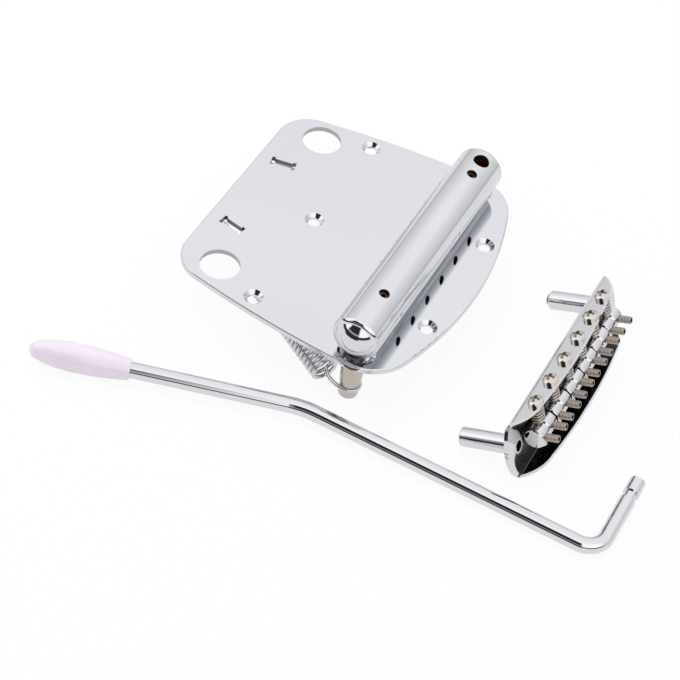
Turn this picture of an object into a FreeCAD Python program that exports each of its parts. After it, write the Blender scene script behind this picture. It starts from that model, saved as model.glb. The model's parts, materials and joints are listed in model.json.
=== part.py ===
import FreeCAD, Part
import math
import os
import re
import Sketcher
from FreeCAD import Placement, Rotation, Vector

# Driving sizes in millimetres and degrees. The origin lies midway between the two bridge holes on
# the underside of the tail plate: +X runs along the strings to the tail, +Z stands up.
SIZES = {
    # Tail plate, as wide as the spacing of the bridge's legs asks
    "leg_half_spacing": 37.0, "side_margin": 15.9, "widest_half": "leg_half_spacing + side_margin",
    "plate_thickness": 2.0, "plate_edge_round": 0.5,
    "front_edge": 15.0, "front_corner_radius": 12.6, "side_radius": 331.6, "widest_behind": 62.8,
    "hip_radius": 17.0, "tail_end": 78.0, "tail_radius": 129.0,
    "bridge_hole_radius": 6.9, "screw_hole_radius": 2.1, "countersink_width": 1.25,
    "front_screw_behind": 16.3, "front_screw_inset": 9.3,
    "front_screw_half": "widest_half - front_screw_inset",
    "rear_screw_inset": 7.6, "rear_screw_behind": "tail_end - rear_screw_inset", "rear_screw_half": 23.0,
    # Spring anchors punched down out of the plate
    "slot_ahead": 5.6, "slot_half_spacing": 18.4, "slot_angle": 11.0, "slot_length": 8.8,
    "slot_width": 2.6, "notch_length": 1.2, "notch_width": 3.9,
    "tab_thickness": 1.6, "tab_drop": 6.5,
    # Knife edges that carry the pivot posts
    "pivot_inset": 6.9, "pivot_half_spacing": "widest_half - pivot_inset",
    "knife_depth": 1.0, "recess_radius": 5.7,
    "recess_ahead": 3.9, "recess_length": 13.0, "pivot_hole_radius": 4.7,
    "knife_clearance": 0.08,
    # Tail bar
    "bar_radius": 8.2, "bar_behind": 55.6, "bar_gap": 1.2,
    "far_overhang": 5.7, "bar_far_end": "pivot_half_spacing + far_overhang",
    "near_overhang": 8.1, "bar_near_end": "pivot_half_spacing + near_overhang",
    "rim_width": 1.5, "dome_radius": "bar_radius - rim_width", "dome_rise": 3.4, "rim_round": 2.0,
    "bar_lean": 9.5, "set_screw_inset": 17.7, "set_hole_depth": 12.0,
    "set_screw_half_spacing": "bar_far_end - set_screw_inset",
    "socket_radius": 2.85, "socket_depth": 9.0, "socket_inset": 9.8,
    "socket_side": "bar_far_end - socket_inset",
    "string_pitch": 11.3, "string_dip": 19.0, "string_bore_radius": 1.7, "string_bore_depth": 9.0,
    "string_hole_radius": 0.9,
    # Pivot posts
    "post_radius": 4.1, "post_shank_radius": 1.6, "post_shank_length": 5.5, "waist_radius": 2.4,
    "waist_margin": 0.15, "collar_gap": 0.1, "post_taper_radius": 3.5,
    "groove_radius": 2.6, "groove_height": 1.9, "groove_drop": 13.6,
    "button_radius": 3.3, "button_height": 3.65, "button_round": 0.8,
    # Tail springs
    "tail_wire": 1.4, "tail_coil_radius": 4.0, "tail_coil_pitch": 1.87, "tail_coil_turns": 20,
    "tail_coil_ahead": 8.8, "tail_coil_out": 0.3, "tail_coil_lift": 0.2, "tail_shank_lead": 5.0,
    "hook_clearance": 0.15, "tab_hook_radius": 2.5, "tab_hook_drop": 2.6,
    # Tremolo arm
    "rod_radius": 2.75, "stem_length": 34.5, "beam_length": 105.6, "reach_length": 57.4,
    "stem_bend_radius": 7.0, "reach_bend_radius": 30.0, "reach_angle": 18.1,
    "rod_end_chamfer": 0.6, "rod_groove_from_end": 6.6, "rod_groove_width": 3.2, "rod_groove_depth": 0.55,
    "arm_end_behind": 153.3, "arm_end_side": 29.1,
    "tip_length": 33.5, "tip_neck_radius": 3.5, "tip_belly_radius": 4.95, "tip_belly_from_neck": 18.0,
    "tip_heel_radius": 3.2, "tip_heel_from_end": 2.6, "tip_bore_depth": 20.0,
    "neck_curve": 110.0, "belly_curve": 42.0, "heel_curve": 3.6,
    # Bridge channel and legs, in the bridge's own frame: +Z from the legs to the strings
    "bridge_behind": 114.16, "bridge_side": 7.3,
    "channel_half_width": 11.6, "channel_sheet": 1.3, "channel_bend": 2.4,
    "end_margin": 7.8, "channel_half_length": "leg_half_spacing + end_margin",
    "corner_margin": 2.6, "end_corner": "leg_half_spacing + corner_margin", "end_curve": 15.5,
    "wall_height": 9.1, "wall_knee_side": 28.0, "wall_knee_height": 7.4, "wall_crown": 231.0,
    "wall_end_curve": 14.6,
    "leg_radius": 3.3, "leg_length": 18.8, "leg_bore_radius": 1.9, "leg_spigot_radius": 2.6,
    "leg_end_round": 0.25,
    # Saddles and their screws
    "saddle_radius": 3.6, "saddle_length": 10.7, "saddle_chamfer": 0.25, "saddle_groove": 0.5,
    "saddle_height": 5.8, "saddle_crown": 0.45, "saddle_setback": 0.5, "thread_clearance": 0.05,
    "height_screw_radius": 1.35, "height_screw_length": 11.8, "height_screw_offset": 3.1,
    "hex_socket_radius": 0.85, "hex_socket_depth": 1.6, "screw_end_chamfer": 0.3,
    "intonation_screw_radius": 1.2, "intonation_screw_length": 17.6,
    "head_radius": 2.6, "head_height": 2.2, "head_rim": 1.2, "head_curve": 3.9,
    "cross_length": 3.7, "cross_width": 1.1, "cross_depth": 1.3,
    "wall_hole_clearance": 0.08, "seat_clearance": 0.02,
    "saddle_wire": 0.65, "saddle_coil_radius": 2.05, "saddle_coil_pitch": 1.08, "coil_end_gap": 0.08,
    "leg_screw_length": 7.0, "far_leg_screw_out": 1.4, "near_leg_screw_out": -0.6,
    "bar_screw_radius": 1.8, "bar_screw_length": 8.0, "bar_screw_sunk": 1.2,
}
SADDLE_COUNT = 6

doc = FreeCAD.newDocument("tremolo_set")
sheet = doc.addObject("Spreadsheet::Sheet", "dims")
for row, (alias, size) in enumerate(SIZES.items(), 1):
    sheet.set(f"A{row}", alias)
    sheet.set(f"B{row}", f"={size}")
    sheet.setAlias(f"B{row}", alias)
doc.recompute()
pieces = {}


def value(text):
    """Number that a sum of sizes, such as 'bar_radius + bar_gap / 2', stands for."""
    total = 0.0
    for sign, product in re.findall(r"([+-]?)\s*([\w.]+(?:\s*[*/]\s*[\w.]+)*)", text):
        words = re.split(r"\s*([*/])\s*", product)
        term = amount(words[0])
        for step, word in zip(words[1::2], words[2::2]):
            term = term * amount(word) if step == "*" else term / amount(word)
        total += -term if sign == "-" else term
    return total


def amount(word):
    """A plain number, or the size of that name, which may itself be a sum of sizes."""
    size = SIZES.get(word, word)
    return value(size) if word in SIZES and isinstance(size, str) else float(size)


def bound(text):
    """The same sum as an expression on the sheet's cells."""
    return re.sub(r"[a-z][a-z_]+", r"dims.\g<0>", text)


def bind(item, **sizes):
    for name, text in sizes.items():
        item.setExpression(name, bound(text))


# Bodies, sketches and features

def new_body(label):
    body = doc.addObject("PartDesign::Body", label)
    body.Label = label
    return body


def new_sketch(body, role, offset=None):
    sketch = body.newObject("Sketcher::SketchObject", body.Label + "_sketch")
    support = next(item for item in body.Origin.OriginFeatures if item.Role == role)
    sketch.AttachmentSupport = [(support, "")]
    sketch.MapMode = "FlatFace"
    if offset:
        sketch.AttachmentOffset = offset
    return sketch


def pin_point(sketch, curve, end, x, y):
    """Hold a point of a sketch at the two sizes named by x and y."""
    for kind, axis, text in (("DistanceX", -2, x), ("DistanceY", -1, y)):
        size = value(text)
        if abs(size) < 1e-9:
            sketch.addConstraint(Sketcher.Constraint("PointOnObject", curve, end, axis))
        else:
            index = sketch.addConstraint(Sketcher.Constraint(kind, -1, 1, curve, end, size))
            sketch.setExpression(f"Constraints[{index}]", bound(text))


def outline(sketch, corners):
    """Closed loop of lines and arcs. A corner is (x, y), or (x, y, radius) where the edge that leaves it is
    an arc that bulges to the right of the way round, or (x, y, radius, "left") to the left of it.
    The radius "half" stands for a half circle across the X direction."""
    points = [Vector(value(corner[0]), value(corner[1]), 0) for corner in corners]
    edges = []
    for index, corner in enumerate(corners):
        start, end = points[index], points[(index + 1) % len(points)]
        if len(corner) == 2:
            edges.append(sketch.addGeometry(Part.LineSegment(start, end)))
            continue
        chord = end - start
        radius = chord.Length / 2 if corner[2] == "half" else value(corner[2])
        side = -1 if len(corner) == 4 else 1
        right = Vector(chord.y, -chord.x, 0).normalize() * side
        rise = radius - math.sqrt(max(radius ** 2 - (chord.Length / 2) ** 2, 0))
        edges.append(sketch.addGeometry(Part.Arc(start, (start + end) / 2 + right * rise, end)))
    for index, corner in enumerate(corners):
        last = edges[index - 1]
        ends = edge_end(sketch, last, points[index]), edge_end(sketch, edges[index], points[index])
        sketch.addConstraint(Sketcher.Constraint("Coincident", last, ends[0], edges[index], ends[1]))
        pin_point(sketch, edges[index], ends[1], corner[0], corner[1])
    for index, corner in enumerate(corners):
        if len(corner) == 2:
            continue
        if corner[2] == "half":
            rule, text = Sketcher.Constraint("DistanceX", -1, 1, edges[index], 3, value(corner[0])), corner[0]
        else:
            rule, text = Sketcher.Constraint("Radius", edges[index], value(corner[2])), corner[2]
        number = sketch.addConstraint(rule)
        sketch.setExpression(f"Constraints[{number}]", bound(text))


def edge_end(sketch, edge, point):
    return 1 if (sketch.getPoint(edge, 1) - point).Length < 1e-6 else 2


def circles(sketch, rings):
    for x, y, radius in rings:
        circle = Part.Circle(Vector(value(x), value(y), 0), Vector(0, 0, 1), value(radius))
        ring = sketch.addGeometry(circle)
        pin_point(sketch, ring, 3, x, y)
        index = sketch.addConstraint(Sketcher.Constraint("Radius", ring, value(radius)))
        sketch.setExpression(f"Constraints[{index}]", bound(radius))


def feature(body, kind, sketch, **settings):
    """Pad, Pocket or Revolution of a sketch; text settings are bound to the sheet."""
    item = body.newObject("PartDesign::" + kind, body.Label + "_" + kind.lower())
    item.Profile = sketch
    for name, setting in settings.items():
        if name in ("Length", "TaperAngle"):
            bind(item, **{name: setting})
        else:
            setattr(item, name, setting)
    doc.recompute()
    return item


def dress(body, kind, base, edges, size, name):
    """Fillet or Chamfer of the named edges of a feature."""
    item = body.newObject("PartDesign::" + kind, body.Label + "_" + kind.lower())
    item.Base = (base, edges)
    bind(item, **{name: size})
    doc.recompute()
    return item


def edges_where(item, test):
    return [f"Edge{index}" for index, edge in enumerate(item.Shape.Edges, 1) if test(edge)]


def is_ring(edge, radius, height):
    curve = edge.Curve
    return (isinstance(curve, Part.Circle) and abs(curve.Radius - value(radius)) < 1e-4
            and abs(curve.Center.z - value(height)) < 1e-4)


def turned(label, role, corners, axis="V_Axis"):
    """Body turned about a sketch axis."""
    body = new_body(label)
    sketch = new_sketch(body, role)
    outline(sketch, corners)
    feature(body, "Revolution", sketch, ReferenceAxis=(sketch, [axis]), Angle=360)
    return body


def cylinder(label, radius, height, place):
    item = doc.addObject("Part::Cylinder", label)
    bind(item, Radius=radius, Height=height)
    item.Placement = place
    return item


def cut(label, base, tools):
    """Base less its tools, as one sub-part."""
    tool = tools[0]
    if len(tools) > 1:
        tool = doc.addObject("Part::MultiFuse", label + "_tools")
        tool.Shapes = tools
    item = doc.addObject("Part::Cut", label)
    item.Base = base
    item.Tool = tool
    item.Label = label
    return item


def piece(label, item, place=None):
    """Register a finished sub-part under its node name."""
    if place:
        item.Placement = place
    pieces[label] = item
    return item


# Wound wire

def biarc(start, leave, end, arrive):
    """Two arcs that join two points and keep both directions."""
    span = end - start
    lean = leave + arrive
    square = 4 - lean.dot(lean)
    reach = span.dot(lean)
    if square < 1e-9:
        tangent = span.dot(span) / (4 * span.dot(leave))
    else:
        tangent = (-reach + math.sqrt(reach ** 2 + square * span.dot(span))) / square
    first, last = start + leave * tangent, end - arrive * tangent
    middle = (first + last) / 2
    return [corner_arc(start, first, middle).toShape(), corner_arc(middle, last, end).toShape()]


def corner_arc(start, corner, end):
    """Arc that rounds a corner between two runs of equal tangent length."""
    middle = (start + end) / 2
    rise = corner - middle
    half = (end - start).Length / 2
    if rise.Length < 1e-6:
        return Part.LineSegment(start, end)
    radius = half * (corner - start).Length / rise.Length
    return Part.Arc(start, middle + rise.normalize() * (radius - math.sqrt(radius ** 2 - half ** 2)), end)


def wire_path(stations):
    """Edges through stations, each a point and a direction; stations in line give a straight run."""
    edges = []
    for (start, leave), (end, arrive) in zip(stations, stations[1:]):
        run = (end - start).normalize()
        if (run - leave).Length < 1e-6 and (run - arrive).Length < 1e-6:
            edges.append(Part.LineSegment(start, end).toShape())
        else:
            edges.extend(biarc(start, leave, end, arrive))
    return edges


def helix(base, axis, side, radius, pitch, turns):
    """Quarter-turn stations of a helix from base along axis, starting on the given side."""
    across = axis.cross(side)
    stations = []
    for step in range(int(round(turns * 4)) + 1):
        angle = math.radians(90 * step)
        out = side * math.cos(angle) + across * math.sin(angle)
        along = across * math.cos(angle) - side * math.sin(angle)
        heading = along * (2 * math.pi * radius) + axis * pitch
        stations.append((base + out * radius + axis * (pitch * step / 4), heading.normalize()))
    return stations


def least_gap(edges, wire):
    """Least clear distance of a wound wire to itself, on points spaced along it."""
    step = wire / 4
    points, places, travelled = [], [], 0.0
    for edge in edges:
        count = max(int(edge.Length / step), 2)
        for index in range(count):
            first, last = edge.FirstParameter, edge.LastParameter
            points.append(edge.valueAt(first + (last - first) * index / count))
            places.append(travelled + edge.Length * index / count)
        travelled += edge.Length
    apart = 3 * wire
    best = None
    for index, point in enumerate(points):
        for other in range(index + 1, len(points)):
            if places[other] - places[index] < apart:
                continue
            distance = (points[other] - point).Length
            if best is None or distance < best:
                best = distance
    return best - wire


def wound(label, stations, wire):
    """One unbroken tube of round wire through the stations."""
    edges = wire_path(stations)
    start, leave = stations[0]
    ring = Part.Wire([Part.Circle(start, leave, wire / 2).toShape()])
    tube = Part.Wire(edges).makePipeShell([ring], True, False)
    length = sum(edge.Length for edge in edges)
    share = tube.Volume / (math.pi * wire ** 2 / 4 * length)
    gap = least_gap(edges, wire)
    print(label, "wire", round(length, 1), "volume share", round(share, 4), "least gap", round(gap, 3))
    item = doc.addObject("Part::Feature", label)
    item.Shape = tube
    item.Label = label
    return item


# Tail plate

def tail_plate():
    body = new_body("tail_plate")
    sketch = new_sketch(body, "XY_Plane")
    plate_outline(sketch)
    slab = feature(body, "Pad", sketch, Length="plate_thickness")
    top = value("plate_thickness")
    rim = edges_where(slab, lambda edge: abs(edge.BoundBox.ZMin - top) < 1e-6)
    dress(body, "Fillet", slab, rim, "plate_edge_round", "Radius")

    sketch = new_sketch(body, "XY_Plane")
    screws = [("front_screw_behind", "front_screw_half"), ("front_screw_behind", "0"),
              ("front_screw_behind", "- front_screw_half"), ("rear_screw_behind", "rear_screw_half"),
              ("rear_screw_behind", "- rear_screw_half")]
    circles(sketch, [(x, y, "screw_hole_radius") for x, y in screws])
    circles(sketch, [("0", sign + "leg_half_spacing", "bridge_hole_radius") for sign in ("", "- ")])
    holes = feature(body, "Pocket", sketch, Type="ThroughAll", Reversed=True)
    mouths = edges_where(holes, lambda edge: is_ring(edge, "screw_hole_radius", "plate_thickness"))
    dress(body, "Chamfer", holes, mouths, "countersink_width", "Size")

    for side in (1, -1):
        pivot_opening(body, side)
        spring_anchor(body, side)
    piece("tail_plate", body)


def plate_outline(sketch):
    """Front line and seven arcs, each running on smoothly from the one before it."""
    names = "front_corner_radius", "side_radius", "hip_radius", "tail_radius"
    corner, side, hip, tail = (value(name) for name in names)
    side_at = Vector(value("widest_behind"), value("widest_half - side_radius"), 0)
    tail_at = Vector(value("tail_end - tail_radius"), 0, 0)
    across = value("front_corner_radius - front_edge")
    corner_at = Vector(across, side_at.y + math.sqrt((side - corner) ** 2 - (across - side_at.x) ** 2), 0)
    span = side_at - tail_at
    along = (span.Length ** 2 + (tail - hip) ** 2 - (side - hip) ** 2) / (2 * span.Length)
    out = math.sqrt((tail - hip) ** 2 - along ** 2)
    span.normalize()
    hip_at = tail_at + span * along + Vector(-span.y, span.x, 0) * out
    joints = [Vector(-value("front_edge"), corner_at.y, 0),
              side_at + (corner_at - side_at).normalize() * side,
              side_at + (hip_at - side_at).normalize() * side,
              tail_at + (hip_at - tail_at).normalize() * tail]
    flip = [Vector(joint.x, -joint.y, 0) for joint in joints]
    ways = list(zip((corner_at, side_at, hip_at), (corner, side, hip), names))
    sketch.addGeometry(Part.LineSegment(joints[0], flip[0]))
    stops = flip + joints[::-1]
    middles = [(Vector(at.x, -at.y, 0), radius, name) for at, radius, name in ways]
    middles += [(tail_at, tail, "tail_radius")] + ways[::-1]
    for (at, radius, name), start, end in zip(middles, stops, stops[1:]):
        turns = [math.atan2(point.y - at.y, point.x - at.x) for point in (start, end)]
        arc = sketch.addGeometry(Part.ArcOfCircle(Part.Circle(at, Vector(0, 0, 1), radius), *turns))
        reach = sketch.addConstraint(Sketcher.Constraint("Radius", arc, radius))
        sketch.setExpression(f"Constraints[{reach}]", bound(name))
    for edge in range(8):
        sketch.addConstraint(Sketcher.Constraint("Tangent", edge, 2, (edge + 1) % 8, 1))
    sketch.addConstraint(Sketcher.Constraint("Vertical", 0))
    front = sketch.addConstraint(Sketcher.Constraint("DistanceX", -1, 1, 0, 1, -value("front_edge")))
    sketch.setExpression(f"Constraints[{front}]", bound("- front_edge"))
    pin_point(sketch, 4, 3, "tail_end - tail_radius", "0")
    pin_point(sketch, 6, 3, "widest_behind", "widest_half - side_radius")
    pin_point(sketch, 2, 3, "widest_behind", "0 - widest_half + side_radius")


def pivot_opening(body, side):
    """Dished recess with a thin front ledge, the straight knife edge, and the hole for the post."""
    centre = Vector(0, side * value("pivot_half_spacing"), value("plate_thickness"))
    recess = new_sketch(body, "XY_Plane", Placement(centre, Rotation()))
    knife = "bar_behind - waist_radius - knife_clearance"
    front = knife + " - recess_ahead"
    slotted(recess, front + " + recess_radius", front + " + recess_length - recess_radius", "recess_radius")
    feature(body, "Pocket", recess, Length="plate_thickness - knife_depth", TaperAngle="0 - 45")
    hole = new_sketch(body, "XY_Plane", Placement(Vector(centre.x, centre.y, 0), Rotation()))
    half, middle = "pivot_hole_radius", "bar_behind"
    outline(hole, [(knife, "- " + half), (middle, "- " + half, "half"), (middle, half), (knife, half)])
    feature(body, "Pocket", hole, Type="ThroughAll", Reversed=True)


def slotted(sketch, front, rear, radius):
    outline(sketch, [
        (front, "- " + radius), (rear, "- " + radius, "half"), (rear, radius), (front, radius, "half")])


def spring_anchor(body, side):
    """I-shaped slot, with its tongue bent down at the front end to hold the spring's hook."""
    spot = Placement(Vector(-value("slot_ahead"), side * value("slot_half_spacing"), 0),
                     Rotation(Vector(0, 0, 1), side * value("slot_angle")))
    sketch = new_sketch(body, "XY_Plane", spot)
    end, inner = "slot_length / 2", "slot_length / 2 - notch_length"
    wide, slim = "notch_width / 2", "slot_width / 2"
    back = "0 - slot_length / 2 + notch_length"
    outline(sketch, [
        ("- " + end, "- " + wide), (back, "- " + wide), (back, "- " + slim), (inner, "- " + slim),
        (inner, "- " + wide), (end, "- " + wide), (end, wide), (inner, wide), (inner, slim),
        (back, slim), (back, wide), ("- " + end, wide)])
    feature(body, "Pocket", sketch, Type="ThroughAll", Reversed=True)
    spot.Base.z = value("plate_thickness / 2")
    sketch = new_sketch(body, "XY_Plane", spot)
    front = "0 - slot_length / 2 - tab_thickness"
    outline(sketch, [(front, "- " + slim), ("- " + end, "- " + slim), ("- " + end, slim), (front, slim)])
    feature(body, "Pad", sketch, Length="tab_drop + plate_thickness / 2", Reversed=True)


# Tail bar with its posts and set screws

BAR_CENTRE = Vector(value("bar_behind"), 0, value("plate_thickness + bar_gap + bar_radius"))


def bar_bore(name, radius, depth, side, angle):
    """Drill into the bar along its radius; the angle runs from straight up towards the tail."""
    turn = Rotation(Vector(0, 1, 0), angle)
    mouth = BAR_CENTRE + Vector(0, side, 0) + turn.multVec(Vector(0, 0, value("bar_radius")))
    place = Placement(mouth, turn.multiply(Rotation(Vector(1, 0, 0), 180)))
    start = Placement(Vector(0, 0, -value("bar_gap")), Rotation())
    return cylinder(name, radius, depth + " + bar_gap", place.multiply(start))


def tail_bar():
    dome = "dome_radius * dome_radius / dome_rise / 2 + dome_rise / 2"
    blank = turned("tail_bar_blank", "XY_Plane", [
        ("0", "- bar_near_end", dome), ("dome_radius", "0 - bar_near_end + dome_rise", "rim_round"),
        ("bar_radius", "0 - bar_near_end + dome_rise + rim_width"),
        ("bar_radius", "bar_far_end - dome_rise - rim_width", "rim_round"),
        ("dome_radius", "bar_far_end - dome_rise", dome), ("0", "bar_far_end")])
    blank.Placement = Placement(BAR_CENTRE, Rotation())
    lean = value("bar_lean")
    tools = [bar_bore("arm_socket", "socket_radius", "socket_depth", value("socket_side"), lean)]
    for side in (1, -1):
        spot = side * value("set_screw_half_spacing")
        bore = "bar_screw_radius + thread_clearance"
        tools.append(bar_bore("set_hole", bore, "set_hole_depth", spot, lean))
        spot = side * value("pivot_half_spacing")
        tools.append(bar_bore("post_bore", "post_shank_radius", "post_shank_length", spot, 180))
    for index in range(SADDLE_COUNT):
        spot = string_place(index)
        dip = 90 + value("string_dip")
        tools.append(bar_bore("ball_pocket", "string_bore_radius", "string_bore_depth", spot, dip))
        tools.append(bar_bore("string_hole", "string_hole_radius", "bar_radius * 2 + bar_gap", spot, dip))
    piece("tail_bar", cut("tail_bar", blank, tools))


def string_place(index):
    return (index - (SADDLE_COUNT - 1) / 2) * value("string_pitch")


def pivot_post(label, side):
    """Turned post: shank in the bar, waist on the knife edge, tapered body, spring groove and button."""
    top = "plate_thickness + bar_gap"
    flank = "post_radius - waist_radius"
    low = "0 - groove_drop - groove_height / 2"
    foot = low + " - button_height"
    body = turned(label, "XZ_Plane", [
        ("0", foot), ("button_radius - button_round", foot, "button_round"),
        ("button_radius", foot + " + button_round"), ("button_radius", low), ("groove_radius", low),
        ("groove_radius", low + " + groove_height"), ("post_taper_radius", low + " + groove_height"),
        ("post_radius", "0 - waist_margin - " + flank.replace(" - ", " + ")),
        ("waist_radius", "0 - waist_margin"), ("waist_radius", "knife_depth + waist_margin"),
        ("post_radius", "knife_depth + waist_margin + " + flank), ("post_radius", top + " - collar_gap"),
        ("post_shank_radius", top + " - collar_gap"), ("post_shank_radius", top + " + post_shank_length"),
        ("0", top + " + post_shank_length")])
    spot = Vector(value("bar_behind"), side * value("pivot_half_spacing"), 0)
    piece(label, body, Placement(spot, Rotation()))


def hex_screw(label, radius, length):
    """Headless screw with a hex socket in its upper end and chamfered rims."""
    blank = turned(label + "_blank", "XZ_Plane", [
        ("0", "0"), (radius + " - screw_end_chamfer", "0"), (radius, "screw_end_chamfer"),
        (radius, length + " - screw_end_chamfer"), (radius + " - screw_end_chamfer", length), ("0", length)])
    socket = doc.addObject("Part::Prism", label + "_socket")
    socket.Polygon = 6
    bind(socket, Circumradius="hex_socket_radius", Height="hex_socket_depth * 2")
    socket.Placement = Placement(Vector(0, 0, value(length + " - hex_socket_depth")), Rotation())
    return cut(label, blank, [socket])


def bar_screws():
    turn = Rotation(Vector(0, 1, 0), value("bar_lean"))
    for number, side in enumerate((1, -1), 1):
        depth = value("bar_radius - bar_screw_sunk - bar_screw_length")
        across = Vector(0, side * value("set_screw_half_spacing"), 0)
        foot = BAR_CENTRE + across + turn.multVec(Vector(0, 0, depth))
        label = f"bar_set_screw_{number}"
        piece(label, hex_screw(label, "bar_screw_radius", "bar_screw_length"), Placement(foot, turn))


# Tail springs

def tail_spring(label, side):
    """Extension spring: open hook round the post's groove, close coil, then a straight shank along the
    coil's axis to an open hook round the anchor tongue."""
    wire = value("tail_wire")
    radius = value("tail_coil_radius")
    post = Vector(value("bar_behind"), side * value("pivot_half_spacing"), -value("groove_drop"))
    tongue = Placement(Vector(-value("slot_ahead"), side * value("slot_half_spacing"), 0),
                       Rotation(Vector(0, 0, 1), side * value("slot_angle")))
    back = value("slot_length / 2 + tab_thickness / 2")
    anchor = tongue.multVec(Vector(-back, 0, -value("tab_hook_drop")))
    start = post + Vector(-value("tail_coil_ahead"), side * value("tail_coil_out"), value("tail_coil_lift"))
    axis = (anchor - start).normalize()
    flat = Vector(axis.x, axis.y, 0).normalize()
    near = Vector(0, 0, 1).cross(flat)
    coil = helix(start, axis, axis.cross(near), radius, value("tail_coil_pitch"), value("tail_coil_turns"))
    shank = start + axis * value("tail_coil_pitch * tail_coil_turns + tail_shank_lead")
    ring = value("groove_radius + tail_wire / 2 + hook_clearance")
    front, side_on = Vector(-1, 0, 0), Vector(0, -1, 0)
    hook = half_loop(post, -front, -side_on, ring, wire) + [(post + side_on * ring + front * wire, front)]
    ring = value("tab_hook_radius")
    tail = [(anchor - near * ring - flat * wire, flat)] + half_loop(anchor, flat, -near, ring, wire)[1:]
    tail.append((anchor + near * ring - flat * wire, -flat))
    piece(label, wound(label, hook + coil + [(shank, axis)] + tail, wire))


def half_loop(centre, ahead, side, radius, lead):
    """Stations of a flat half turn that starts on the given side, after a straight lead."""
    begin = centre + side * radius
    return [(begin - ahead * lead, ahead), (begin, ahead), (centre + ahead * radius, -side),
            (centre - side * radius, -ahead)]


# Tremolo arm, lying flat beside the plate with its tip and stem on the same surface

FLOOR = value("0 - groove_drop - groove_height / 2 - button_height")


def arm_place():
    """The tip is fatter than the rod, so the arm leans a little about its stem."""
    rise = value("tip_belly_radius - rod_radius")
    turn = math.radians(value("reach_angle"))
    reach = value("beam_length") + math.cos(turn) * value("reach_length + tip_belly_from_neck")
    lean = math.degrees(math.asin(rise / reach))
    spot = Vector(value("arm_end_behind"), -value("arm_end_side"), FLOOR + value("rod_radius"))
    return Placement(spot, Rotation(Vector(0, 1, 0), lean))


def arm_rod():
    body = new_body("arm_rod")
    path = new_sketch(body, "XY_Plane")
    stem, beam = value("stem_length"), value("beam_length")
    bend, sweep = value("stem_bend_radius"), value("reach_bend_radius")
    turn = math.radians(value("reach_angle"))
    tangent = sweep * math.tan(turn / 2)
    ahead = Vector(-math.cos(turn), -math.sin(turn), 0)
    elbow = Vector(-beam, -stem, 0)
    reach = elbow + ahead * value("reach_length + tip_bore_depth")
    down, flat = Vector(0, -stem + bend, 0), Vector(-bend, -stem, 0)
    near, far = elbow + Vector(tangent, 0, 0), elbow + ahead * tangent
    path.addGeometry(Part.LineSegment(Vector(0, 0, 0), down))
    path.addGeometry(corner_arc(down, Vector(0, -stem, 0), flat))
    path.addGeometry(Part.LineSegment(flat, near))
    path.addGeometry(corner_arc(near, elbow, far))
    path.addGeometry(Part.LineSegment(far, reach))
    section = new_sketch(body, "XZ_Plane")
    circles(section, [("0", "0", "rod_radius")])
    rod = body.newObject("PartDesign::AdditivePipe", "arm_rod_pipe")
    rod.Profile = section
    rod.Spine = path
    doc.recompute()
    ends = edges_where(rod, lambda edge: isinstance(edge.Curve, Part.Circle)
                       and abs(edge.BoundBox.YMax) < 1e-4 and abs(edge.BoundBox.YMin) < 1e-4)
    dress(body, "Chamfer", rod, ends, "rod_end_chamfer", "Size")
    groove = new_sketch(body, "XY_Plane")
    inner, outer = "rod_radius - rod_groove_depth", "rod_radius + rod_groove_depth"
    upper, lower = "0 - rod_groove_from_end", "0 - rod_groove_from_end - rod_groove_width"
    outline(groove, [(inner, lower), (outer, lower), (outer, upper), (inner, upper)])
    feature(body, "Groove", groove, ReferenceAxis=(groove, ["V_Axis"]), Angle=360)
    piece("arm_rod", body, arm_place())


def arm_tip():
    """Moulded handle, pushed over the rod's end."""
    body = turned("arm_tip", "XY_Plane", [
        ("0", "rod_radius"), ("tip_bore_depth", "rod_radius"), ("tip_bore_depth", "0"),
        ("tip_length", "0", "heel_curve"),
        ("tip_length - tip_heel_from_end", "tip_heel_radius", "belly_curve"),
        ("tip_belly_from_neck", "tip_belly_radius", "neck_curve"), ("0", "tip_neck_radius")], "H_Axis")
    turn = Rotation(Vector(0, 0, 1), 180 + value("reach_angle"))
    ahead = turn.multVec(Vector(1, 0, 0))
    neck = Vector(-value("beam_length"), -value("stem_length"), 0) + ahead * value("reach_length")
    piece("arm_tip", body, arm_place().multiply(Placement(neck, turn)))


# Bridge, lying on its leg ends and the front edge of its channel

def bridge_place():
    """Frame of the bridge: its underside's centre. One line touches the bend of its front wall and the round
    on its leg ends, and that line is level."""
    across = value("channel_half_width - channel_bend - leg_radius + leg_end_round")
    along = value("channel_bend + leg_length - leg_end_round")
    step = value("channel_bend - leg_end_round") / math.hypot(across, along)
    slope = math.atan2(across, along) + math.asin(step)
    foot = value("leg_radius - leg_end_round"), value("leg_length - leg_end_round")
    lift = foot[0] * math.cos(slope) + foot[1] * math.sin(slope) + value("leg_end_round")
    spot = Vector(value("bridge_behind"), -value("bridge_side"), FLOOR + lift)
    return Placement(spot, Rotation(Vector(0, 1, 0), 90 - math.degrees(slope)))


BRIDGE = bridge_place()


def in_bridge(x, y, z, turn=Rotation()):
    return BRIDGE.multiply(Placement(Vector(x, y, z), turn))


def string_drop(index):
    """How far a saddle sits below the middle of the string arc."""
    share = string_place(index) / string_place(SADDLE_COUNT - 1)
    return value("saddle_crown") * share ** 2


def saddle_level(index):
    return value("saddle_height") - string_drop(index)


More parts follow.
